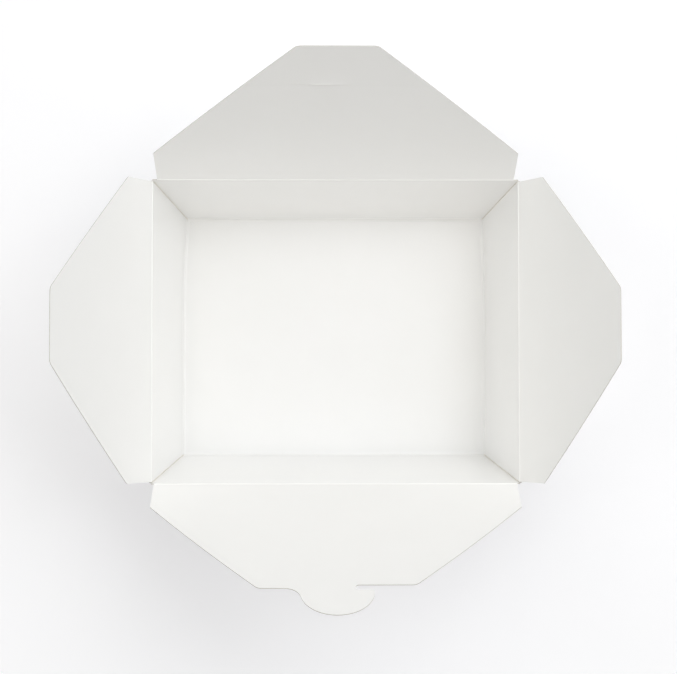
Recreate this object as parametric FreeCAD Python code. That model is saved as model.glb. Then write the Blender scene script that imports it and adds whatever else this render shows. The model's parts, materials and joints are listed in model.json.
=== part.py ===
import FreeCAD, Part
import math
import os
from FreeCAD import Placement, Rotation, Vector

# Takeout food box folded from one blank of coated paperboard, open, with four top flaps.
# Millimetres, +Z up, +Y towards the rear flap, origin at the centre of the base underside.

# Board and tray, measured on the inside faces
board = 0.45                # 18-point paperboard
base_length = 152.4         # along X, between the end creases
base_width = 119.4          # along Y, between the side creases
wall_height = 63.5          # up to the folds of the two end flaps
end_flare = 8.8             # how far each end wall leans out
side_flare = 10.5           # how far the front and rear walls lean out
crease_bulge = 0.8          # radius of the bead that the base creases raise inside

# Corner webs, each folded double and laid flat on the outside of an end wall
web_gap = 0.15              # air between two layers of board
web_drop = 2.0              # the webs are trimmed this far below the end folds
crevice = 0.10              # between the turned edge of an end wall and the side wall

# Folds that carry the flaps
fold_bead = 0.40            # radius of the bead at the root of a flap
fold_clearance = 0.05       # between that bead and the edge of the wall
fold_lip = 0.02             # flat left on each side of the groove in that edge
stack_gap = 0.15            # between closed flaps, so each fold line stands one board higher

# End flaps, distances measured from the fold
end_shoulder = 18.2         # straight sides up to here
end_reach = 72.1
end_tip = 31.6              # width of the blunt tip
end_bow = 0.35              # the long slopes are bowed outwards by this much at their middles
left_lean = 60.0            # degrees above level, leaning outwards
right_lean = 61.0           # degrees

# Rear flap with the locking slit
rear_relief = 2.1           # cut back from each end of the rim
rear_shoulder = 19.5
rear_reach = 92.0
rear_tip = 33.8
rear_bow = 0.4
rear_lean = 61.5            # degrees
slit_width = 0.5
slit_slack = 0.4            # the slit lies this much beyond the front flap's shoulder
slit_end_play = 1.0         # free length at each end of the neck
score_step = 1.7            # the scored line crosses this much nearer to the fold than the slit
score_depth = 0.14
score_radius = 0.5

# Front flap with the hooked locking tab
front_relief = 1.2
front_shoulder = 17.9
front_lean = 58.5           # degrees
front_tip = 66.5            # width between the two corners beside the tab
front_bow = 0.6
plain_edge_reach = 75.8     # edge beside the curved root of the tab
notched_edge_reach = 73.6   # edge beside the notch
tab_radius = 15.7
tab_centre_reach = 77.6
tab_root_radius = 7.0
notch_width = 3.2
notch_end = 7.6             # inner end of the notch, from the middle of the flap
tip_corner_radius = 4.0
corner_match = 0.01         # how near an upright edge lies to a tip corner that is rounded

# Worked out from the sizes above
rise = wall_height - board
end_slope = math.atan2(end_flare, rise)
side_slope = math.atan2(side_flare, rise)
end_out = Vector(math.cos(end_slope), 0, -math.sin(end_slope))
side_out = Vector(0, math.cos(side_slope), -math.sin(side_slope))
turn_radius = board + web_gap / 2
web_seat = 2 * (board + web_gap)
web_top = wall_height - web_drop
edge_inset = turn_radius + crevice
seat_radius = fold_bead + fold_clearance
seat_depth = math.sqrt(seat_radius ** 2 - (board / 2 - fold_lip) ** 2)
fold_step = board + stack_gap
rear_fold_height = wall_height + fold_step
front_fold_height = wall_height + 2 * fold_step


def half_length(z, offset=0.0):
    return base_length / 2 + end_flare * (z - board) / rise + offset / math.cos(end_slope)


def half_width(z, offset=0.0):
    return base_width / 2 + side_flare * (z - board) / rise + offset / math.cos(side_slope)


def corner(z, end_offset, side_offset):
    return Vector(half_length(z, end_offset), half_width(z, side_offset), z)


def flipped(point, axis):
    return Vector(-point.x, point.y, point.z) if axis == "x" else Vector(point.x, -point.y, point.z)


def sheet(points, outward):
    face = Part.Face(Part.makePolygon(points + points[:1]))
    return face.extrude(outward * board)


def rod(start, end, radius):
    axis = end - start
    return Part.makeCylinder(radius, axis.Length, start, axis)


def rod_across(start, axis, radius):
    return rod(flipped(start, axis), start, radius)


def prism(start, end, rim):
    # a slice with a round rim of three points, carried from start to end
    round_side = Part.Arc(start + rim[0], start + rim[1], start + rim[2]).toShape()
    wire = Part.Wire([round_side, Part.makePolygon([start + rim[2], start, start + rim[0]])])
    return Part.Face(wire).extrude(end - start)


def bend(start, end, one_side, other_side):
    # the outside of a fold between two panels that face one_side and other_side
    middle = (one_side + other_side).normalize()
    return prism(start, end, [one_side * board, middle * board, other_side * board])


def hairpin(start, end, outward, turn):
    # a sheet doubled back on itself; turn is 1 or -1, the side that the fold points to
    tip = (end - start).cross(outward).normalize() * turn
    return prism(start, end, [outward * turn_radius, tip * turn_radius, outward * -turn_radius])


def side_wall(fold_height):
    top = fold_height - seat_depth * math.cos(side_slope)
    low, high = corner(board, web_seat, 0), corner(top, web_seat, 0)
    wall = sheet([flipped(low, "x"), low, high, flipped(high, "x")], side_out)
    fold = corner(fold_height, web_seat + board, board / 2)
    # beyond the end walls the blank is cut down level with the webs
    relief = Part.makeBox(base_length, base_width, wall_height, Vector(half_length(wall_height), 0, web_top))
    wall = wall.cut(rod_across(fold, "x", seat_radius)).cut(relief)
    return wall.cut(mirrored([relief], Vector(1, 0, 0))[0])


def end_wall():
    top = wall_height - seat_depth * math.cos(end_slope)
    low, high = corner(board, 0, -edge_inset), corner(top, 0, -edge_inset)
    wall = sheet([flipped(low, "y"), low, high, flipped(high, "y")], end_out)
    fold = corner(wall_height, board / 2, 0)
    return wall.cut(rod_across(fold, "y", seat_radius))


def web_inward():
    # a web spans 90 degrees less the fans of both walls, and is folded at its middle
    end_fan = math.atan2(side_flare, rise / math.cos(end_slope))
    side_fan = math.atan2(end_flare, rise / math.cos(side_slope))
    return (math.pi / 2 - end_fan - side_fan) / 2 - end_fan


def web_fold(z):
    climb = (z - board) / math.cos(end_slope)
    return Vector(half_length(z), base_width / 2 - climb * math.tan(web_inward()), z)


def turned_edge(z):
    return corner(z, 0, -edge_inset)


def inner_web_layer():
    opening = side_flare / rise + math.tan(web_inward()) / math.cos(end_slope)
    apex = board + edge_inset / math.cos(side_slope) / opening
    offset = end_out * (board + web_gap)
    return sheet([web_fold(apex) + offset, turned_edge(wall_height) + offset, web_fold(wall_height) + offset],
                 end_out)


def outer_web_layer():
    offset = end_out * web_seat
    return sheet([corner(0, web_seat, 0), corner(wall_height, web_seat, 0), web_fold(wall_height) + offset,
                  web_fold(0) + offset], end_out)


def corner_web():
    # every layer starts on the plane of the floor and is trimmed level below the rim
    edge_offset, fold_offset = end_out * turn_radius, end_out * (web_seat - web_gap / 2)
    pieces = [inner_web_layer(), outer_web_layer(),
              hairpin(turned_edge(0) + edge_offset, turned_edge(wall_height) + edge_offset, end_out, -1),
              hairpin(web_fold(board) + fold_offset, web_fold(wall_height) + fold_offset, end_out, 1),
              bend(corner(0, web_seat, 0), corner(wall_height, web_seat, 0), side_out, end_out)]
    keep = Part.makeBox(base_length, base_width, web_top - board, Vector(0, 0, board))
    return [piece.common(keep) for piece in pieces]


def base():
    floor = Part.makeBox(base_length, base_width, board, Vector(-base_length / 2, -base_width / 2, 0))
    down, across, along = Vector(0, 0, -1), Vector(1, 0, 0), Vector(0, 1, 0)
    edge = corner(board, 0, 0)
    rear_bend = bend(flipped(edge, "x"), edge, down, side_out)
    end_bend = bend(flipped(edge, "y"), edge, down, end_out)
    return [floor, rear_bend, end_bend] + mirrored([rear_bend], along) + mirrored([end_bend], across)


def inside_space():
    rings = []
    for z in (board, wall_height):
        first = corner(z, 0, 0)
        ring = [first, flipped(first, "x"), flipped(flipped(first, "x"), "y"), flipped(first, "y")]
        rings.append(Part.makePolygon(ring + ring[:1]))
    return Part.makeLoft(rings, True, True)


def base_creases():
    edge = corner(board, 0, 0)
    beads = [rod_across(edge, "x", crease_bulge), rod_across(flipped(edge, "y"), "x", crease_bulge),
             rod_across(edge, "y", crease_bulge), rod_across(flipped(edge, "x"), "y", crease_bulge)]
    space = inside_space()
    return [bead.common(space) for bead in beads]


def mirrored(shapes, normal):
    return [shape.mirror(Vector(0, 0, 0), normal) for shape in shapes]


def tray():
    across, along = Vector(1, 0, 0), Vector(0, 1, 0)
    ends = [end_wall()]
    webs = corner_web()
    webs += mirrored(webs, along)
    ends += mirrored(ends, across)
    webs += mirrored(webs, across)
    sides = [side_wall(rear_fold_height)] + mirrored([side_wall(front_fold_height)], along)
    pieces = base() + sides + ends + webs + base_creases()
    return pieces[0].multiFuse(pieces[1:]).removeSplitter()


def flap_blank(outline):
    # drawn flat: the fold along X, the flap reaching out along Y, its inner face up
    face = Part.Face(Part.Wire(outline))
    blank = face.extrude(Vector(0, 0, board))
    return blank.translated(Vector(0, 0, -board / 2))


def root_bead(half):
    return rod(Vector(-half, 0, 0), Vector(half, 0, 0), fold_bead)


def line(start, end):
    return Part.makeLine(Vector(*start, 0), Vector(*end, 0))


def arc(start, middle, end):
    return Part.Arc(Vector(*start, 0), Vector(*middle, 0), Vector(*end, 0)).toShape()


def slope(start, end, bow):
    # a long edge between a side and the tip, bowed away from the fold at its middle
    across, along = end[0] - start[0], end[1] - start[1]
    share = math.copysign(bow / math.hypot(across, along), across)
    middle = ((start[0] + end[0]) / 2 - along * share, (start[1] + end[1]) / 2 + across * share)
    return arc(start, middle, end)


def blunt_outline(half, shoulder, tip, reach, bow):
    return [line((-half, 0), (half, 0)), line((half, 0), (half, shoulder)),
            slope((half, shoulder), (tip, reach), bow), line((tip, reach), (-tip, reach)),
            slope((-tip, reach), (-half, shoulder), bow), line((-half, shoulder), (-half, 0))]


def end_flap():
    half = half_width(wall_height) - edge_inset
    blank = flap_blank(blunt_outline(half, end_shoulder, end_tip / 2, end_reach, end_bow))
    return round_tip(blank, end_reach).fuse(root_bead(half)).removeSplitter()


def round_tip(blank, reach):
    corners = [edge for edge in blank.Edges
               if edge.Length < board * 1.01 and abs(edge.CenterOfMass.y - reach) < 0.01]
    return blank.makeFillet(tip_corner_radius, corners)


def slit_reach():
    depth = half_width(rear_fold_height, board / 2) + half_width(front_fold_height, board / 2)
    return depth - notched_edge_reach + slit_slack


def rear_flap():
    half = half_length(wall_height) - rear_relief
    blank = flap_blank(blunt_outline(half, rear_shoulder, rear_tip / 2, rear_reach, rear_bow))
    blank = round_tip(blank, rear_reach).fuse(root_bead(half))
    return blank.cut(slit()).cut(scored_line(half)).removeSplitter()


def neck():
    # where the tab joins the front flap, between its curved root and the end of the notch
    return -(notch_end), math.sqrt((tab_radius + tab_root_radius) ** 2
                                   - (plain_edge_reach + tab_root_radius - tab_centre_reach) ** 2)


def slit():
    # the flaps face each other, so the front flap's left is the rear flap's right
    notch_side, root_side = neck()
    left, right = -root_side - slit_end_play, -notch_side + slit_end_play
    reach, radius = slit_reach(), slit_width / 2
    slot = Part.makeBox(right - left, slit_width, 4 * board, Vector(left, reach - radius, -2 * board))
    for end in (left, right):
        slot = slot.fuse(rod(Vector(end, reach, -2 * board), Vector(end, reach, 2 * board), radius))
    return slot


def scored_line(half):
    # a pressed line across the flap on its inner face, close to the slit on the side of the fold
    height, reach = board / 2 + score_radius - score_depth, slit_reach() - score_step
    return rod(Vector(-half, reach, height), Vector(half, reach, height), score_radius)


def tab_outline():
    # the hook points to the flap's own left, seen from inside the box
    centre, radius = tab_centre_reach, tab_radius
    notch_radius = notch_width / 2
    notch_reach = notched_edge_reach + notch_radius
    hook_reach = notched_edge_reach + notch_width
    hook = -math.sqrt(radius ** 2 - (hook_reach - centre) ** 2)
    root_centre = (neck()[1], plain_edge_reach + tab_root_radius)
    share = radius / (radius + tab_root_radius)
    meet = (root_centre[0] * share, centre + (root_centre[1] - centre) * share)
    away = math.atan2(meet[1] - root_centre[1], meet[0] - root_centre[0])
    middle_angle = (away - math.pi / 2) / 2
    root_middle = (root_centre[0] + tab_root_radius * math.cos(middle_angle),
                   root_centre[1] + tab_root_radius * math.sin(middle_angle))
    inner = -notch_end - notch_radius
    return [line((-front_tip / 2, notched_edge_reach), (inner, notched_edge_reach)),
            arc((inner, notched_edge_reach), (-notch_end, notch_reach), (inner, hook_reach)),
            line((inner, hook_reach), (hook, hook_reach)),
            arc((hook, hook_reach), (0, centre + radius), meet),
            arc(meet, root_middle, (root_centre[0], plain_edge_reach)),
            line((root_centre[0], plain_edge_reach), (front_tip / 2, plain_edge_reach))]


def front_flap():
    half, tip = half_length(wall_height) - front_relief, front_tip / 2
    outline = tab_outline()
    outline += [slope((tip, plain_edge_reach), (half, front_shoulder), front_bow),
                line((half, front_shoulder), (half, 0)), line((half, 0), (-half, 0)),
                line((-half, 0), (-half, front_shoulder)),
                slope((-half, front_shoulder), (-tip, notched_edge_reach), front_bow)]
    blank = flap_blank(outline)
    corners = [edge for edge in blank.Edges
               if edge.Length < board * 1.01 and abs(abs(edge.CenterOfMass.x) - tip) < corner_match]
    return blank.makeFillet(tip_corner_radius, corners).fuse(root_bead(half)).removeSplitter()


def placed(flap, lean, facing, reach_out, height):
    # tips the flat flap up by its lean and turns it to its side of the rim
    flap.Placement = Placement(Vector(0, 0, 0), Rotation(Vector(1, 0, 0), lean))
    flap.translate(Vector(0, reach_out, height))
    flap.rotate(Vector(0, 0, 0), Vector(0, 0, 1), facing)
    return flap


def all_parts():
    end_fold = half_length(wall_height, board / 2)
    rear_fold = half_width(rear_fold_height, board / 2)
    front_fold = half_width(front_fold_height, board / 2)
    return {
        "tray": tray(),
        "rear_flap": placed(rear_flap(), rear_lean, 0, rear_fold, rear_fold_height),
        "left_flap": placed(end_flap(), left_lean, 90, end_fold, wall_height),
        "front_flap": placed(front_flap(), front_lean, 180, front_fold, front_fold_height),
        "right_flap": placed(end_flap(), right_lean, -90, end_fold, wall_height),
    }


os.makedirs("parts", exist_ok=True)
for name, shape in all_parts().items():
    shape.exportStep("parts/" + name + ".step")
    print(name, "valid" if shape.isValid() else "INVALID", len(shape.Solids), "solid", len(shape.Faces), "faces",
          round(shape.Volume, 1), "mm3")
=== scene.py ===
import json
import math

import bmesh
import bpy
import numpy as np
from mathutils import Matrix, Vector, geometry


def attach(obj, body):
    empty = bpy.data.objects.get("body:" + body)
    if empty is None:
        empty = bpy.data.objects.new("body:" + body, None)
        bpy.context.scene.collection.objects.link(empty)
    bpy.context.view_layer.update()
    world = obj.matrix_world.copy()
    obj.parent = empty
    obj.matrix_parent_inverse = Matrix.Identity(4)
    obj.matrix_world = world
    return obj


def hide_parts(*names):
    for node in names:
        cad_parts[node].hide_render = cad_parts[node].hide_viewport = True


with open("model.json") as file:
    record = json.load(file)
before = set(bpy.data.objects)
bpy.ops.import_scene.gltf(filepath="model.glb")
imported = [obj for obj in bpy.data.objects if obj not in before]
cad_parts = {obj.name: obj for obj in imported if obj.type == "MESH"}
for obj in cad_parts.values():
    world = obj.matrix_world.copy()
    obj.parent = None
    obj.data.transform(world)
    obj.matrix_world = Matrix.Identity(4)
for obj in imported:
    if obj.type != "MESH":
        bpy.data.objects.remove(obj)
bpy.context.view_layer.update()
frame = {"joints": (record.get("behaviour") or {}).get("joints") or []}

joints = {joint["child"]: joint for joint in frame["joints"]}
mm = 0.001

# The board that every piece is folded from, in millimetres and degrees. foldBead is the radius of the bead
# at the fold of a flap, and beadSeat is the share of it that stands above the wall.
board = {"thickness": 0.45, "webGap": 0.15, "crevice": 0.02, "foldBead": 0.47, "beadSeat": 0.84,
         "wearAndShadeReach": 1.2, "wearAndShadeDepth": 0.25, "sharpAngle": 38.0, "cell": 2.6}
# The coated face: tones, gloss, and the sizes and depths of its grain in millimetres
paper = {"white": (0.98, 0.977, 0.966), "shade": (0.973, 0.97, 0.958),
         # the crease tone is crease wear with painted crease shade; the corner tone is painted shade in the crevice
         # at each corner
         "wornAndShadedCrease": (0.94, 0.936, 0.92), "corner": (0.88, 0.77, 0.56),
         "roughness": (0.35, 0.47), "coat": 0.8, "coatRoughness": 0.22, "sheen": 0.5, "sheenRoughness": 0.45,
         "fibreSize": 0.35, "fibreDepth": 0.012, "fibreSpan": (0.3, 0.7), "leastWearAndShade": 0.45,
         "cloudSize": 22.0, "cloudSpan": (0.35, 0.65), "rippleSize": 9.0, "rippleDepth": 0.03, "bumpStrength": 0.6}
# The cut edges of the board: the fibre tones of its core, darkened as painted shade on the edges
edgeCoreAndShade = {"light": (0.76, 0.74, 0.70), "dark": (0.60, 0.575, 0.53), "roughness": 0.85,
           "fibreSize": 0.18, "fibreSpan": (0.35, 0.65), "fibreDepth": 0.03}


def newMaterial(name):
    material = bpy.data.materials.new(name)
    material.use_nodes = True
    return material, material.node_tree.nodes, material.node_tree.links


def noiseNode(nodes, links, coords, sizeMm, detail, stretch=(1, 1, 1)):
    mapping = nodes.new("ShaderNodeMapping")
    mapping.inputs["Scale"].default_value = stretch
    texture = nodes.new("ShaderNodeTexNoise")
    texture.inputs["Scale"].default_value = 1 / (sizeMm * mm)
    texture.inputs["Detail"].default_value = detail
    links.new(coords.outputs["Object"], mapping.inputs["Vector"])
    links.new(mapping.outputs["Vector"], texture.inputs["Vector"])
    return texture


def rampNode(nodes, links, source, low, high, lowValue, highValue):
    ramp = nodes.new("ShaderNodeMapRange")
    for socket, value in (("From Min", low), ("From Max", high), ("To Min", lowValue), ("To Max", highValue)):
        ramp.inputs[socket].default_value = value
    links.new(source, ramp.inputs["Value"])
    return ramp


def mixColours(nodes, links, factor, first, second):
    mix = nodes.new("ShaderNodeMix")
    mix.data_type = "RGBA"
    links.new(factor, mix.inputs["Factor"])
    for socket, value in ((6, first), (7, second)):
        if isinstance(value, tuple):
            mix.inputs[socket].default_value = (*value, 1)
        else:
            links.new(value, mix.inputs[socket])
    return mix.outputs[2]


def coatedBoard():
    material, nodes, links = newMaterial("coatedBoard")
    shader = nodes["Principled BSDF"]
    coords = nodes.new("ShaderNodeTexCoord")
    clouds = noiseNode(nodes, links, coords, paper["cloudSize"], 3)
    fibres = noiseNode(nodes, links, coords, paper["fibreSize"], 4, (1, 0.45, 1))
    ripple = noiseNode(nodes, links, coords, paper["rippleSize"], 2)
    cloudMix = rampNode(nodes, links, clouds.outputs["Fac"], *paper["cloudSpan"], 0, 1)
    colour = mixColours(nodes, links, cloudMix.outputs["Result"], paper["white"], paper["shade"])
    patchy = rampNode(nodes, links, fibres.outputs["Fac"], *paper["fibreSpan"], paper["leastWearAndShade"], 1)
    for attribute, wearAndShadeTone in (("creaseWearAndShade", paper["wornAndShadedCrease"]), ("paintedCornerShade", paper["corner"])):
        wearAndShade = nodes.new("ShaderNodeAttribute")  # 1 where the tone is full: crease wear with painted crease shade, then painted corner shade; 0 where the board is plain
        wearAndShade.attribute_name = attribute
        wornAndShaded = nodes.new("ShaderNodeMath")
        wornAndShaded.operation = "MULTIPLY"
        links.new(wearAndShade.outputs["Fac"], wornAndShaded.inputs[0])
        links.new(patchy.outputs["Result"], wornAndShaded.inputs[1])
        colour = mixColours(nodes, links, wornAndShaded.outputs["Value"], colour, wearAndShadeTone)
    links.new(colour, shader.inputs["Base Color"])
    rough = rampNode(nodes, links, fibres.outputs["Fac"], *paper["fibreSpan"], *paper["roughness"])
    links.new(rough.outputs["Result"], shader.inputs["Roughness"])
    for socket, value in (("Coat Weight", "coat"), ("Coat Roughness", "coatRoughness"),
                          ("Sheen Weight", "sheen"), ("Sheen Roughness", "sheenRoughness")):
        shader.inputs[socket].default_value = paper[value]
    bump = None
    for texture, depth in ((ripple, paper["rippleDepth"]), (fibres, paper["fibreDepth"])):
        nextBump = nodes.new("ShaderNodeBump")
        nextBump.inputs["Strength"].default_value = paper["bumpStrength"]
        nextBump.inputs["Distance"].default_value = depth * mm
        links.new(texture.outputs["Fac"], nextBump.inputs["Height"])
        if bump:
            links.new(bump.outputs["Normal"], nextBump.inputs["Normal"])
        bump = nextBump
    links.new(bump.outputs["Normal"], shader.inputs["Normal"])
    return material


def cutEdgeAndShade():
    material, nodes, links = newMaterial("cutEdgeAndShade")
    shader = nodes["Principled BSDF"]
    coords = nodes.new("ShaderNodeTexCoord")
    fibres = noiseNode(nodes, links, coords, edgeCoreAndShade["fibreSize"], 3, (1, 1, 3))
    factor = rampNode(nodes, links, fibres.outputs["Fac"], *edgeCoreAndShade["fibreSpan"], 0, 1)
    # fibre tones of the core, darkened as painted shade on the edges
    links.new(mixColours(nodes, links, factor.outputs["Result"], edgeCoreAndShade["light"], edgeCoreAndShade["dark"]),
              shader.inputs["Base Color"])
    shader.inputs["Roughness"].default_value = edgeCoreAndShade["roughness"]
    bump = nodes.new("ShaderNodeBump")
    bump.inputs["Distance"].default_value = edgeCoreAndShade["fibreDepth"] * mm
    links.new(fibres.outputs["Fac"], bump.inputs["Height"])
    links.new(bump.outputs["Normal"], shader.inputs["Normal"])
    return material


boardMaterial, edgeMaterial = coatedBoard(), cutEdgeAndShade()
print("materials ready")


def finishPiece(piece, node, body):
    piece.data.set_sharp_from_angle(angle=math.radians(board["sharpAngle"]))
    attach(piece, body)
    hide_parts(node)


# a per-point tone mask, for the crease wear with painted crease shade and for the painted corner shade
def wearAndShadeAttribute(mesh, values, name="creaseWearAndShade"):
    attribute = mesh.attributes.new(name, "FLOAT", "POINT")
    attribute.data.foreach_set("value", np.array(values, np.float32))


# The tray: the lines of its floor, the lean and bow of its walls, the marks of its creases, and the reach of the
# crease wear with painted crease shade and of the painted corner shade, in millimetres
tray = {"length": 152.4, "width": 119.4, "endFlare": 8.8, "sideFlare": 10.5, "webDrop": 2.0,
        "ridgeOffset": 0.82, "ridgeHeight": 0.21, "ridgeSpread": 0.27, "beadHeight": 0.42, "beadSpread": 0.50,
        "sideBow": 0.5, "endBow": 0.4, "floorCrown": 0.25, "creaseFill": 0.62, "foldPower": 0.35,
        "wearAndShadeReach": 1.8, "wearAndShadeDepth": 0.3, "wearAndShadeTop": 4.0,
        "shadeReach": 0.35, "shadeSlack": 0.02}
# How strongly the ridges stand up along each side of the floor, and at the corners
ridgeShare = {"right": 1.5, "left": 1.0, "rear": 2.0, "front": 0.5, "corner": 1.0, "blend": 12.0}
# How far the end creases are pulled in at each base corner, or pushed out where it is below zero
pinch = {"rearLeft": 1.9, "rearRight": 1.4, "frontLeft": -0.3, "frontRight": -0.9, "reach": 45.0, "inward": 30.0}
trayRise = joints["left_flap"]["pos_m"][2] / mm - board["thickness"]
endSlope = math.atan2(tray["endFlare"], trayRise)
sideSlope = math.atan2(tray["sideFlare"], trayRise)
turnRadius = board["thickness"] + board["webGap"] / 2
webSeat = 2 * (board["thickness"] + board["webGap"])


def endFace(z, offset):
    return tray["length"] / 2 + tray["endFlare"] * (z - board["thickness"]) / trayRise + offset / math.cos(endSlope)


def sideFace(z, offset):
    return tray["width"] / 2 + tray["sideFlare"] * (z - board["thickness"]) / trayRise + offset / math.cos(sideSlope)


def webFold(z):
    endFan = math.atan2(tray["sideFlare"], trayRise / math.cos(endSlope))
    sideFan = math.atan2(tray["endFlare"], trayRise / math.cos(sideSlope))
    inward = (math.pi / 2 - endFan - sideFan) / 2 - endFan
    return tray["width"] / 2 - (z - board["thickness"]) / math.cos(endSlope) * math.tan(inward)


def steps(count):
    # even shares of a run, from its first step to its end
    return [i / count for i in range(1, count + 1)]


def flattened(value):
    # a fold that is pressed flat turns more squarely than a circle
    return math.copysign(abs(value) ** tray["foldPower"], value)


# how many steps of points each run of the route round the tray takes, and the climb from floor to rim
runs = {"end": 26, "turn": 8, "web": 12, "fold": 6, "bend": 5, "side": 30, "climb": 26}
# columns of points on an end wall, from its middle to its corner, closer together towards the corner
endCrowding = 1.6
endShares = [0.0] + [1 - (1 - share) ** endCrowding for share in steps(runs["end"])]
# columns of points on a side wall: close together beside the corner, then evenly spaced
cornerOffsets, reliefOffset = [webSeat, 0.8, 0.4, 0.16, 0.12, -0.4, -1.2], 0.14
shortestWeb = 0.02


def cornerRoute(z):
    # one quarter of the ring at height z, from the middle of the right wall to the middle of the rear wall
    half, thick = board["thickness"] / 2, board["thickness"]
    turn = sideFace(z, -(turnRadius + board["crevice"]))
    fold = min(webFold(z), turn - shortestWeb)
    bend = sideFace(z, 0)
    arc = (thick + board["webGap"]) / 2
    inner = endFace(z, 1.5 * thick + board["webGap"])
    middle = endFace(z, 2 * thick + 1.5 * board["webGap"])
    outer = endFace(z, webSeat + half)
    y = sideFace(z, half)
    points = [(endFace(z, half), turn * share) for share in endShares]
    points += [(endFace(z, turnRadius) - arc * flattened(math.cos(a)), turn + arc * flattened(math.sin(a)))
               for a in (math.pi * share for share in steps(runs["turn"]))]
    points += [(inner, turn + (fold - turn) * share) for share in steps(runs["web"])]
    points += [(middle - arc * math.cos(a), fold - arc * math.sin(a))
               for a in (math.pi * share for share in steps(runs["fold"]))]
    points += [(outer, fold + (bend - fold) * share) for share in steps(runs["web"])]
    points += [(endFace(z, webSeat) + half * math.cos(a), bend + half * math.sin(a))
               for a in (math.pi / 2 * share for share in steps(runs["bend"]))]
    points += [(endFace(z, offset), y) for offset in cornerOffsets[1:]]
    points += [(endFace(z, cornerOffsets[-1]) * (1 - share), y) for share in steps(runs["side"])]
    return points


quarterCount = len(cornerRoute(trayRise / 2))
endCount, sideCount = len(endShares), len(cornerOffsets) - 1 + runs["side"]


def columnKind(index):
    if index < endCount:
        return "end"
    return "side" if index >= quarterCount - sideCount else "web"


def sidePlace(index):
    # the number of a side wall's column, counted from the corner
    return index - (quarterCount - sideCount) + 1


def columnTop(index, frontSide):
    kind = columnKind(index)
    fold = joints["front_flap" if frontSide else "rear_flap"]["pos_m"][2] / mm
    endTop = joints["left_flap"]["pos_m"][2] / mm
    seat = board["foldBead"] * board["beadSeat"]
    if kind == "end":
        return endTop - seat
    place = sidePlace(index)
    if kind == "side" and (place >= len(cornerOffsets) or cornerOffsets[place] < reliefOffset):
        return fold - seat
    return endTop - tray["webDrop"]


def ridge(distance):
    # the two ridges that a creasing rule raises beside the fold
    return tray["ridgeHeight"] * math.exp(-((distance - tray["ridgeOffset"]) / tray["ridgeSpread"]) ** 2)


def ridgeStrength(index, signX, signY):
    # gap is the distance of the column from the corner
    kind, place = columnKind(index), sidePlace(index)
    if kind == "web":
        return ridgeShare["corner"]
    side = "rear" if signY > 0 else "front"
    if kind == "end":
        side, gap = "right" if signX > 0 else "left", tray["width"] / 2 * (1 - endShares[index])
    elif place < len(cornerOffsets):
        gap = max(0.0, -cornerOffsets[place])
    else:
        share = (place - len(cornerOffsets) + 1) / runs["side"]
        gap = -cornerOffsets[-1] + tray["length"] / 2 * share
    blend = min(1.0, gap / ridgeShare["blend"])
    return ridgeShare["corner"] + (ridgeShare[side] - ridgeShare["corner"]) * blend


def wallPoint(index, climb, frontSide, strength=0.0):
    # climb is the height above the floor line, in millimetres
    z = board["thickness"] + climb
    x, y = cornerRoute(z)[index]
    kind = columnKind(index)
    span = columnTop(index, frontSide) - board["thickness"]
    bow = math.sin(math.pi * min(max(climb / span, 0), 1))
    lift = ridge(climb) * strength
    if kind == "end":
        across = math.cos(math.pi / 2 * min(abs(y) / (tray["width"] / 2), 1))
        x += tray["endBow"] * bow * across - lift * math.cos(endSlope)
        z += lift * math.sin(endSlope)
    elif kind == "side":
        across = math.cos(math.pi / 2 * min(abs(x) / (tray["length"] / 2), 1))
        y += tray["sideBow"] * bow * across - lift * math.cos(sideSlope)
        z += lift * math.sin(sideSlope)
    return x, y, z


# distances of the rows of points from the fold of a base crease
creaseSteps = [0.18, 0.35, 0.52, 0.68, 0.82, 0.95, 1.08, 1.22, 1.4, 1.65, 2.0, 2.6, 3.4]


def wallRows(index, frontSide, strength):
    top = columnTop(index, frontSide) - board["thickness"]
    climbs = creaseSteps + [creaseSteps[-1] + (top - creaseSteps[-1]) * share for share in steps(runs["climb"])]
    return [wallPoint(index, climb, frontSide, strength) for climb in climbs]


def floorRows(index, strength):
    # from the crease inwards: the ring of the floor at each distance from the fold
    rows, kind, place = [], columnKind(index), sidePlace(index)
    for distance in reversed(creaseSteps):
        length, width = tray["length"] / 2 - distance, tray["width"] / 2 - distance
        z = board["thickness"] / 2 + ridge(distance) * strength
        if kind == "end":
            rows.append((length, width * endShares[index], z))
        elif kind == "side" and place < len(cornerOffsets):
            rows.append((length + min(cornerOffsets[place], 0), width, z))
        elif kind == "side":
            share = (place - len(cornerOffsets) + 1) / runs["side"]
            rows.append(((length + cornerOffsets[-1]) * (1 - share), width, z))
        else:
            rows.append((length, width, z))
    return rows


def foldRow(index):
    # the bottom of the crease, rounded between floor and wall
    x, y, _ = wallPoint(index, 0.0, False)
    return x, y, board["thickness"] * tray["creaseFill"]


def trayColumns():
    columns = []
    for quarter, (signX, signY) in enumerate(((1, 1), (-1, 1), (-1, -1), (1, -1))):
        order = range(quarterCount) if quarter % 2 == 0 else reversed(range(quarterCount))
        quarterColumns = []
        for index in order:
            strength = ridgeStrength(index, signX, signY)
            rows = floorRows(index, strength) + [foldRow(index)] + wallRows(index, signY < 0, strength)
            quarterColumns.append([(x * signX, y * signY, z) for x, y, z in rows])
        columns += quarterColumns[:-1]
    return columns


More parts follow.
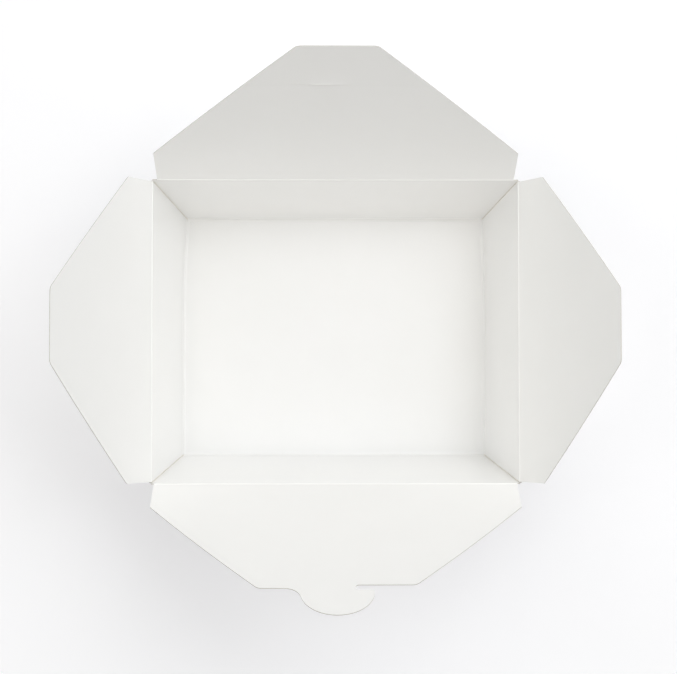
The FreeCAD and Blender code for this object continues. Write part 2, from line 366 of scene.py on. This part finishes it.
def buildTray():
    columns = trayColumns()
    rows = len(columns[0])
    vertices = [point for column in columns for point in column]
    faces, count = [], len(columns)
    for c in range(count):
        after = (c + 1) % count
        for r in range(rows - 1):
            faces.append((c * rows + r, c * rows + r + 1, after * rows + r + 1, after * rows + r))
    # the floor inside the innermost ring, as a grid between facing columns
    xs = sorted({round(column[0][0], 6) for column in columns})
    ys = sorted({round(column[0][1], 6) for column in columns})
    base = len(vertices)
    reachX, reachY = max(xs), max(ys)
    for x in xs:
        for y in ys:
            crown = tray["floorCrown"] * math.cos(math.pi / 2 * x / reachX) * math.cos(math.pi / 2 * y / reachY)
            vertices.append((x, y, board["thickness"] / 2 + crown))
    step = len(ys)
    for i in range(len(xs) - 1):
        for j in range(step - 1):
            a = base + i * step + j
            faces.append((a, a + step, a + step + 1, a + 1))
    mesh = bpy.data.meshes.new("trayBoard")
    mesh.from_pydata([Vector(v) * mm for v in vertices], [], faces)
    work = bmesh.new()
    work.from_mesh(mesh)
    bmesh.ops.remove_doubles(work, verts=work.verts, dist=2e-6)
    bmesh.ops.dissolve_degenerate(work, edges=work.edges, dist=1e-6)
    bmesh.ops.recalc_face_normals(work, faces=work.faces)
    work.to_mesh(mesh)
    work.free()
    piece = bpy.data.objects.new("trayBoard", mesh)
    bpy.context.scene.collection.objects.link(piece)
    mesh.materials.append(boardMaterial)
    mesh.materials.append(edgeMaterial)
    solid = piece.modifiers.new("thickness", "SOLIDIFY")
    solid.thickness, solid.offset = board["thickness"] * mm, 0
    solid.material_offset_rim = 1
    evaluated = piece.evaluated_get(bpy.context.evaluated_depsgraph_get())
    solidMesh = bpy.data.meshes.new_from_object(evaluated)
    piece.modifiers.clear()
    piece.data = solidMesh
    # mask of crease wear with painted crease shade at the foot of the walls
    wearAndShadeAttribute(solidMesh, [creaseWearAndShadeAt(v.co / mm) for v in solidMesh.vertices])
    # mask of painted shade in the crevice at each corner
    wearAndShadeAttribute(solidMesh, [paintedCornerShadeAt(v.co / mm) for v in solidMesh.vertices], "paintedCornerShade")
    moved = [pinched(beaded(v.co / mm, v.normal)) for v in solidMesh.vertices]
    for vertex, place in zip(solidMesh.vertices, moved):
        vertex.co = Vector(place) * mm
    finishPiece(piece, "tray", "tray")
    return piece


def foldDistances(point):
    # from the inner corner lines of the end creases and of the side creases
    rise = point.z - board["thickness"]
    return (math.hypot(abs(point.x) - tray["length"] / 2, rise), math.hypot(abs(point.y) - tray["width"] / 2, rise))


def beaded(point, normal):
    # the crease fills out with a soft bead on the inside of the box
    result = Vector(point)
    for axis, distance, slope in zip((0, 1), foldDistances(point), (endSlope, sideSlope)):
        lean = (math.pi / 2 - slope) / 2
        inward = Vector((0, 0, math.cos(lean)))
        inward[axis] = -math.copysign(math.sin(lean), point[axis])
        if normal.dot(inward) > 0 and distance < 4 * tray["beadSpread"]:
            result += inward * tray["beadHeight"] * math.exp(-(distance / tray["beadSpread"]) ** 2)
    return result


def pinched(point):
    # only the lower part of the end walls moves, and the rim stays straight
    corner = ("rear" if point.y > 0 else "front") + ("Left" if point.x < 0 else "Right")
    alongWall = min(max(1 - (tray["width"] / 2 - abs(point.y)) / pinch["reach"], 0), 1)
    upWall = min(max(1 - point.z / (trayRise + board["thickness"]), 0), 1)
    toWall = min(max(1 - (tray["length"] / 2 - abs(point.x)) / pinch["inward"], 0), 1)
    shift = pinch[corner] * alongWall ** 2 * upWall * toWall ** 2 * (3 - 2 * toWall)
    return point.x - math.copysign(shift, point.x), point.y, point.z


def creaseWearAndShadeAt(point):
    # darker towards the creases at the foot of the walls: crease wear with painted crease shade
    if point.z >= tray["wearAndShadeTop"]:
        return 0.0
    return max(0.0, 1 - min(foldDistances(point)) / tray["wearAndShadeReach"]) * tray["wearAndShadeDepth"]


def paintedCornerShadeAt(point):
    # the warm dark tone on the turned edge of an end wall is painted shade for the crevice at the corner
    if abs(point.x) < endFace(point.z, 0) - tray["shadeSlack"] or abs(point.x) > endFace(point.z, webSeat):
        return 0.0
    return max(0.0, 1 - abs(abs(point.y) - sideFace(point.z, -turnRadius / 2)) / tray["shadeReach"])


# Every flap: bow is how far its long slopes bulge in the plane of the board, round is the radius of its corners,
# and curl is how far it sags outwards between its fold and its tip, little enough for the closed flaps to stack
endFlap = {"shoulder": 18.2, "reach": 72.1, "tip": 31.6, "bow": 0.35, "round": 4.0,
           "curl": {"left_flap": 0.10, "right_flap": 0.12}}
rearFlap = {"relief": 2.1, "shoulder": 19.5, "reach": 92.0, "tip": 33.8, "bow": 0.4, "round": 4.0, "curl": 0.10,
            "slitSlack": 0.4, "slitPlay": 1.0, "slitGap": 0.16, "gapOpens": 5.0, "gapShuts": 4.5, "gapPower": 1.5,
            "gapLeast": 0.12, "lipHeight": 0.6, "lipSpread": 0.9, "lipRise": 5.0, "lipFall": 2.5, "lipLeast": 0.2,
            "lipRamp": 1.5, "scoreStep": 1.7, "scoreDepth": 0.05, "scoreSpread": 0.9, "scoreEdge": 0.3}
frontFlap = {"relief": 1.2, "shoulder": 17.9, "tip": 66.5, "bow": 0.6, "plainEdge": 75.8, "notchedEdge": 73.6,
             "tabRadius": 15.7, "tabCentre": 77.6, "rootRadius": 7.0, "notchWidth": 3.2, "notchEnd": 7.6,
             "round": 4.0, "curl": 0.30}


def arcPoints(centre, radius, start, end, count):
    # angles in degrees, both ends included
    return [(centre[0] + radius * math.cos(math.radians(start + (end - start) * i / count)),
             centre[1] + radius * math.sin(math.radians(start + (end - start) * i / count)))
            for i in range(count + 1)]


def roundedCorner(before, corner, after, radius, count=7):
    corner, toBefore, toAfter = Vector(corner), Vector(before) - Vector(corner), Vector(after) - Vector(corner)
    toBefore.normalize()
    toAfter.normalize()
    half = toBefore.angle(toAfter) / 2
    first, last = corner + toBefore * radius / math.tan(half), corner + toAfter * radius / math.tan(half)
    centre = corner + (toBefore + toAfter).normalized() * radius / math.sin(half)
    points = []
    for i in range(count + 1):
        direction = (first - centre).lerp(last - centre, i / count).normalized()
        points.append(tuple(centre + direction * radius))
    return points


def dense(points, step, last=None):
    # adds points along each straight run, up to the last point, or round to the first one
    result = []
    for a, b in zip(points, points[1:] + [last or points[0]]):
        cuts = max(1, round(math.dist(a, b) / step))
        result += [(a[0] + (b[0] - a[0]) * i / cuts, a[1] + (b[1] - a[1]) * i / cuts) for i in range(cuts)]
    return result


def inside(points, loop):
    # even-odd test of many points against one closed loop
    points, loop = np.array(points), np.array(loop)
    after = np.roll(loop, -1, axis=0)
    found = np.zeros(len(points), bool)
    for (ax, ay), (bx, by) in zip(loop, after):
        if ay == by:
            continue
        crosses = (ay > points[:, 1]) != (by > points[:, 1])
        found ^= crosses & (points[:, 0] < (bx - ax) * (points[:, 1] - ay) / (by - ay) + ax)
    return found


def clearOf(points, loop, margin):
    points, loop = np.array(points), np.array(loop)
    keep = np.ones(len(points), bool)
    for a, b in zip(loop, np.roll(loop, -1, axis=0)):
        along = b - a
        share = np.clip((points - a) @ along / max(along @ along, 1e-12), 0, 1)
        keep &= np.linalg.norm(points - (a + share[:, None] * along), axis=1) > margin
    return keep


# how far loose points keep from an edge or a scored row, and points on a scored row from an edge or a slit
edgeMargin, rowEndMargin, slitMargin = 0.9, 0.3, 0.12
rowPitch = 0.87  # of a cell, for nearly even triangles
# reach of each row of points round the bead at the fold, and on to the flat board
foldRows = ([round(-board["foldBead"] * math.cos(math.pi / 2 * i / 7), 3) for i in range(8)]
            + [0.1, 0.19, 0.27, 0.331, 0.42, 0.6, 0.9, 1.3, 1.8])
flatStart = foldRows[-1]


def across(half):
    # columns of points across a flap, from its left end to its right end
    count = math.ceil(2 * half / board["cell"])
    return [round(-half + 2 * half * i / count, 3) for i in range(count + 1)]


def flatPoints(outline, holes, scores):
    # loose points over the flat board, with none close to an edge, a slit or a scored row
    widest, reach = max(p[0] for p in outline), max(p[1] for p in outline)
    cell, pitch = board["cell"], board["cell"] * rowPitch
    grid = [(x * cell + (cell / 2 if y % 2 else 0), flatStart + y * pitch)
            for x in range(-int(widest / cell) - 1, int(widest / cell) + 2) for y in range(int(reach / pitch) + 1)]
    grid = [p for p in grid if all(abs(p[1] - row) > edgeMargin for row in scores)]
    keep = inside(grid, outline) & clearOf(grid, outline, edgeMargin)
    for hole in holes:
        keep &= ~inside(grid, hole) & clearOf(grid, hole, edgeMargin)
    return [p for p, k in zip(grid, keep) if k]


def scoredRows(outline, holes, scores):
    # points and links along each row of a scored line
    points, links = [], []
    widest, cell = max(p[0] for p in outline), board["cell"] / 2
    for row in scores:
        line = [(x * cell, row) for x in range(-int(widest / cell) - 1, int(widest / cell) + 2)]
        keep = inside(line, outline) & clearOf(line, outline, rowEndMargin)
        for hole in holes:
            keep &= ~inside(line, hole) & clearOf(line, hole, slitMargin)
        last = None
        for point, kept in zip(line, keep):
            if kept:
                points.append(point)
                if last is not None:
                    links.append((len(points) - 2, len(points) - 1))
            last = point if kept else None
    return points, links


def buildSheet(name, outline, holes, scores, surface):
    # outline starts along the flap's root, at flatStart; surface gives middle height, half thickness and the tone
    # mask of crease wear with painted crease shade.
    # Where the half thickness is below thinnest, the two faces meet.
    thinnest = 1e-4
    root = [p[0] for p in outline if p[1] == flatStart]
    points, links = [], []
    for loop in [outline] + holes:
        first = len(points)
        points += loop
        links += [(first + i, first + (i + 1) % len(loop)) for i in range(len(loop))]
    rowPoints, rowLinks = scoredRows(outline, holes, scores)
    links += [(a + len(points), b + len(points)) for a, b in rowLinks]
    points += rowPoints + flatPoints(outline, holes, scores)
    points = [(round(x, 3), round(y, 3)) for x, y in points]
    found, _, triangles, *_ = geometry.delaunay_2d_cdt([Vector(p) for p in points], links, [], 0, 1e-5)
    found = [(round(v.x, 3), round(v.y, 3)) for v in found]
    centres = [tuple(sum(found[i][k] for i in t) / 3 for k in (0, 1)) for t in triangles]
    keep = inside(centres, outline)
    for hole in holes:
        keep &= ~inside(centres, hole)
    plan, index = [], {}

    def spot(point):
        if point not in index:
            index[point] = len(plan)
            plan.append(point)
        return index[point]

    flat = [tuple(spot(found[i]) for i in t) for t, k in zip(triangles, keep) if k]
    for low, high in zip(foldRows, foldRows[1:]):
        for left, right in zip(root, root[1:]):
            flat.append((spot((left, low)), spot((right, low)), spot((right, high)), spot((left, high))))
    vertices, wearAndShade, under = [], [], []
    for x, y in plan:
        middle, half, wornAndShaded = surface(x, y)
        vertices.append((x, y, middle + half))
        wearAndShade.append(wornAndShaded)
    for number, (x, y) in enumerate(plan):
        middle, half, wornAndShaded = surface(x, y)
        under.append(number if half < thinnest else len(vertices))
        if half >= thinnest:
            vertices.append((x, y, middle - half))
            wearAndShade.append(wornAndShaded)
    faces = flat + [tuple(under[i] for i in reversed(face)) for face in flat]
    sides = {}
    for face in flat:
        for a, b in zip(face, face[1:] + face[:1]):
            sides[(a, b)] = True
    rim = [(a, b) for a, b in sides if (b, a) not in sides and (under[a] != a or under[b] != b)]
    firstRim = len(faces)
    for a, b in rim:
        corners = [b, a, under[a], under[b]]
        faces.append(tuple(dict.fromkeys(corners)))
    mesh = bpy.data.meshes.new(name)
    mesh.from_pydata([Vector(v) * mm for v in vertices], [], faces)
    mesh.materials.append(boardMaterial)
    mesh.materials.append(edgeMaterial)
    for polygon in mesh.polygons[firstRim:]:
        polygon.material_index = 1
    # crease wear with painted crease shade along the fold of the flap
    wearAndShadeAttribute(mesh, wearAndShade)
    mesh.shade_smooth()
    piece = bpy.data.objects.new(name, mesh)
    bpy.context.scene.collection.objects.link(piece)
    return piece


def foldThickness(reach):
    # the board swells into a round bead at its fold
    radius, half = board["foldBead"], board["thickness"] / 2
    if abs(reach) >= radius:
        return half
    return max(half if reach > 0 else 0.0, math.sqrt(radius ** 2 - reach ** 2))


# a darker tone along the fold of a flap: crease wear with painted crease shade
def foldWearAndShade(reach):
    return max(0.0, 1 - abs(reach) / board["wearAndShadeReach"]) * board["wearAndShadeDepth"]


def placeFlap(piece, node):
    joint = joints[node]
    lean = 180 - joint["range_deg"][1]
    x, y, z = joint["pos_m"]
    facing = math.atan2(-x, y)
    matrix = (Matrix.Translation((x, y, z)) @ Matrix.Rotation(facing, 4, "Z")
              @ Matrix.Rotation(math.radians(lean), 4, "X"))
    piece.data.transform(matrix)
    finishPiece(piece, node, node)


def curled(curl, reach, reachEnd):
    share = max(0.0, reach / reachEnd)
    return -4 * curl * share * (1 - share)


def flapSurface(curl, reachEnd):
    def surface(x, reach):
        return curled(curl, reach, reachEnd), foldThickness(reach), foldWearAndShade(reach)
    return surface


def slope(start, end, bow, count=20):
    # the points between two corners of a long slope, bowed away from the fold
    run, climb = end[0] - start[0], end[1] - start[1]
    share = math.copysign(bow / math.hypot(run, climb), run)
    points = []
    for i in range(1, count):
        along, out = i / count, 4 * i * (count - i) / count ** 2 * share
        points.append((start[0] + run * along - climb * out, start[1] + climb * along + run * out))
    return points


def bodyOutline(half, shoulder, tipPoints, bow):
    # anticlockwise: root from left to right, right side, tip from right to left, left side
    root = [(x, flatStart) for x in across(half)]
    sides = ([(half, shoulder)] + slope((half, shoulder), tipPoints[0], bow) + tipPoints
             + slope(tipPoints[-1], (-half, shoulder), bow) + [(-half, shoulder)])
    rest = dense([(root[-1][0], flatStart)] + sides, board["cell"], (root[0][0], flatStart))
    return root + rest[1:]


def bluntTip(half, values):
    # the rounded corners of a flap with a straight tip, from right to left
    tip, reach = values["tip"] / 2, values["reach"]
    before = slope((half, values["shoulder"]), (tip, reach), values["bow"])[-1]
    right = roundedCorner(before, (tip, reach), (-tip, reach), values["round"])
    return right + [(-x, y) for x, y in reversed(right)]


def buildEndFlap(node, name):
    half = sideFace(joints[node]["pos_m"][2] / mm, 0) - turnRadius - board["crevice"]
    outline = bodyOutline(half, endFlap["shoulder"], bluntTip(half, endFlap), endFlap["bow"])
    piece = buildSheet(name, outline, [], [], flapSurface(endFlap["curl"][node], endFlap["reach"]))
    placeFlap(piece, node)
    return piece


def slitReach():
    depth = joints["rear_flap"]["pos_m"][1] / mm - joints["front_flap"]["pos_m"][1] / mm
    return depth - frontFlap["notchedEdge"] + rearFlap["slitSlack"]


def tabRoot():
    # centre of the hollow curve at the plain side of the tab
    rise = frontFlap["plainEdge"] + frontFlap["rootRadius"] - frontFlap["tabCentre"]
    run = math.sqrt((frontFlap["tabRadius"] + frontFlap["rootRadius"]) ** 2 - rise ** 2)
    return run, frontFlap["tabCentre"] + rise


def slitEnds():
    return -tabRoot()[0] - rearFlap["slitPlay"], frontFlap["notchEnd"] + rearFlap["slitPlay"]


def slitOutline():
    # a knife cut, which gapes a little in the middle and is shut at its right end
    left, right = slitEnds()
    lower = []
    for share in steps(24)[:-1]:
        shutting = rearFlap["gapShuts"] * (1 - share) ** rearFlap["gapPower"] + rearFlap["gapLeast"]
        gape = rearFlap["slitGap"] / 2 * min(1, rearFlap["gapOpens"] * share, shutting)
        lower.append((left + (right - left) * share, slitReach() - gape))
    upper = [(x, 2 * slitReach() - y) for x, y in reversed(lower)]
    return [(left, slitReach())] + lower + [(right, slitReach())] + upper


def rearSurface(x, reach):
    score, line, (left, right) = slitReach() - rearFlap["scoreStep"], slitReach(), slitEnds()
    spread = rearFlap["scoreEdge"] if reach < score else rearFlap["scoreSpread"]
    pressed = math.exp(-((reach - score) / spread) ** 2)
    lift = 0.0
    if left < x < right and reach > line:
        share = (x - left) / (right - left)
        along = min(1, rearFlap["lipRise"] * share, rearFlap["lipFall"] * (1 - share))
        # the lip is lower where the tip of the left flap lies under it in the closed box
        leftTip = endFlap["reach"] - joints["right_flap"]["pos_m"][0] / mm
        along *= min(1, max(rearFlap["lipLeast"], (x - leftTip) / rearFlap["lipRamp"]))
        lift = rearFlap["lipHeight"] * along * math.exp(-(reach - line) / rearFlap["lipSpread"])
    middle = curled(rearFlap["curl"], reach, rearFlap["reach"]) + lift - rearFlap["scoreDepth"] * pressed
    return middle, foldThickness(reach), foldWearAndShade(reach)


def buildRearFlap():
    half = endFace(joints["left_flap"]["pos_m"][2] / mm, 0) - rearFlap["relief"]
    outline = bodyOutline(half, rearFlap["shoulder"], bluntTip(half, rearFlap), rearFlap["bow"])
    line = slitReach()
    slitRows = [line + offset for offset in (-0.5, -0.2, 0.2, 0.45, 0.8, 1.25)]
    scoreRows = [line - rearFlap["scoreStep"] + offset for offset in (-0.6, -0.35, -0.18, 0.0, 0.25, 0.55, 0.9)]
    piece = buildSheet("rearFlapBoard", outline, [slitOutline()], scoreRows + slitRows, rearSurface)
    placeFlap(piece, "rear_flap")
    return piece


def tabOutline():
    # from the plain corner round the tab and its notch to the other corner, seen from inside the box
    radius, centre = frontFlap["tabRadius"], frontFlap["tabCentre"]
    notch = frontFlap["notchWidth"] / 2
    rootX, rootY = tabRoot()
    meet = math.degrees(math.atan2(rootY - centre, rootX))
    hookY = frontFlap["notchedEdge"] + frontFlap["notchWidth"]
    hook = 180 - math.degrees(math.asin((hookY - centre) / radius))
    inner = -frontFlap["notchEnd"] - notch
    plainCorner = (frontFlap["tip"] / 2, frontFlap["plainEdge"])
    notchedCorner = (-frontFlap["tip"] / 2, frontFlap["notchedEdge"])
    rightShoulder, leftShoulder = (frontHalf(), frontFlap["shoulder"]), (-frontHalf(), frontFlap["shoulder"])
    plain = roundedCorner(slope(rightShoulder, plainCorner, frontFlap["bow"])[-1], plainCorner,
                          (rootX, frontFlap["plainEdge"]), frontFlap["round"])
    notched = roundedCorner((inner, frontFlap["notchedEdge"]), notchedCorner,
                            slope(notchedCorner, leftShoulder, frontFlap["bow"])[0], frontFlap["round"])
    hollow = arcPoints((rootX, rootY), frontFlap["rootRadius"], 270, 180 + meet, 8)
    tab = arcPoints((0, centre), radius, meet, hook, 34)
    slot = arcPoints((inner, frontFlap["notchedEdge"] + notch), notch, 90, -90, 8)
    return plain + hollow + tab[1:] + slot + notched


def frontHalf():
    return endFace(joints["left_flap"]["pos_m"][2] / mm, 0) - frontFlap["relief"]


def buildFrontFlap():
    outline = bodyOutline(frontHalf(), frontFlap["shoulder"], tabOutline(), frontFlap["bow"])
    reach = frontFlap["tabCentre"] + frontFlap["tabRadius"]
    piece = buildSheet("frontFlapBoard", outline, [], [], flapSurface(frontFlap["curl"], reach))
    placeFlap(piece, "front_flap")
    return piece


buildTray()
print("tray built")
buildEndFlap("left_flap", "leftFlapBoard")
buildEndFlap("right_flap", "rightFlapBoard")
buildRearFlap()
buildFrontFlap()
print("flaps built")


studio = {"floorColour": (0.86, 0.86, 0.858), "floorRoughness": 0.9, "floorGlow": (0.192, 0.192, 0.213),
          "floorSize": 4.0, "worldColour": (1.0, 1.0, 1.0), "worldStrength": 0.18}
# Soft boxes round the table: bearing from the right end of the box, height above the table, both in degrees
softBoxes = {"top": {"bearing": 0, "height": 90, "power": 1.15, "colour": (1.0, 1.0, 1.0)},
             "highRight": {"bearing": 0, "height": 60, "power": 3.8, "colour": (0.97, 1.0, 1.0)},
             "highRightRear": {"bearing": 45, "height": 60, "power": 6.2, "colour": (0.945, 0.955, 1.0)},
             "highRear": {"bearing": 90, "height": 60, "power": 2.1, "colour": (0.97, 1.0, 0.93)},
             "highLeft": {"bearing": 180, "height": 60, "power": 4.1, "colour": (0.98, 0.98, 1.0)},
             "highFront": {"bearing": 270, "height": 60, "power": 3.3, "colour": (1.0, 0.92, 0.79)},
             "lowRight": {"bearing": 0, "height": 30, "power": 3.35, "colour": (0.98, 1.0, 1.0)},
             "lowRear": {"bearing": 90, "height": 30, "power": 5.4, "colour": (1.0, 0.97, 0.92)},
             "lowLeft": {"bearing": 180, "height": 30, "power": 3.1, "colour": (0.98, 1.0, 0.93)}}
boxDistance, boxSize = 1.7, 1.0  # metres
lens = {"place": (-0.0071, -0.03074, 0.76923), "tilt": (2.2741, -0.6813, -0.0235), "focal": 81.043, "film": 36.0}


def buildStudio():
    half = studio["floorSize"] / 2
    mesh = bpy.data.meshes.new("floor")
    mesh.from_pydata([(-half, -half, 0), (half, -half, 0), (half, half, 0), (-half, half, 0)], [], [(0, 1, 2, 3)])
    floor = bpy.data.objects.new("floor", mesh)
    bpy.context.scene.collection.objects.link(floor)
    material, nodes, _ = newMaterial("floorPaint")
    shader = nodes["Principled BSDF"]
    shader.inputs["Base Color"].default_value = (*studio["floorColour"], 1)
    shader.inputs["Roughness"].default_value = studio["floorRoughness"]
    shader.inputs["Emission Color"].default_value = (*studio["floorGlow"], 1)
    shader.inputs["Emission Strength"].default_value = 1.0
    mesh.materials.append(material)
    world = bpy.data.worlds.new("studio")
    world.use_nodes = True
    background = world.node_tree.nodes["Background"]
    background.inputs["Color"].default_value = (*studio["worldColour"], 1)
    background.inputs["Strength"].default_value = studio["worldStrength"]
    bpy.context.scene.world = world


def addSoftBoxes():
    for name, box in softBoxes.items():
        light = bpy.data.lights.new(name, "AREA")
        light.energy, light.size, light.color = box["power"], boxSize, box["colour"]
        lamp = bpy.data.objects.new(name, light)
        bearing, height = math.radians(box["bearing"]), math.radians(box["height"])
        lamp.location = Vector((math.cos(height) * math.cos(bearing), math.cos(height) * math.sin(bearing),
                                math.sin(height))) * boxDistance
        lamp.rotation_euler = (-lamp.location).to_track_quat("-Z", "Y").to_euler()
        bpy.context.scene.collection.objects.link(lamp)


def addCamera():
    data = bpy.data.cameras.new("camera")
    data.lens, data.sensor_width, data.sensor_fit = lens["focal"], lens["film"], "HORIZONTAL"
    data.clip_start = 0.01
    camera = bpy.data.objects.new("camera", data)
    camera.location = lens["place"]
    camera.rotation_euler = [math.radians(angle) for angle in lens["tilt"]]
    bpy.context.scene.collection.objects.link(camera)
    bpy.context.scene.camera = camera


buildStudio()
addSoftBoxes()
addCamera()
bpy.context.scene.view_settings.view_transform = "Standard"
print("studio ready")
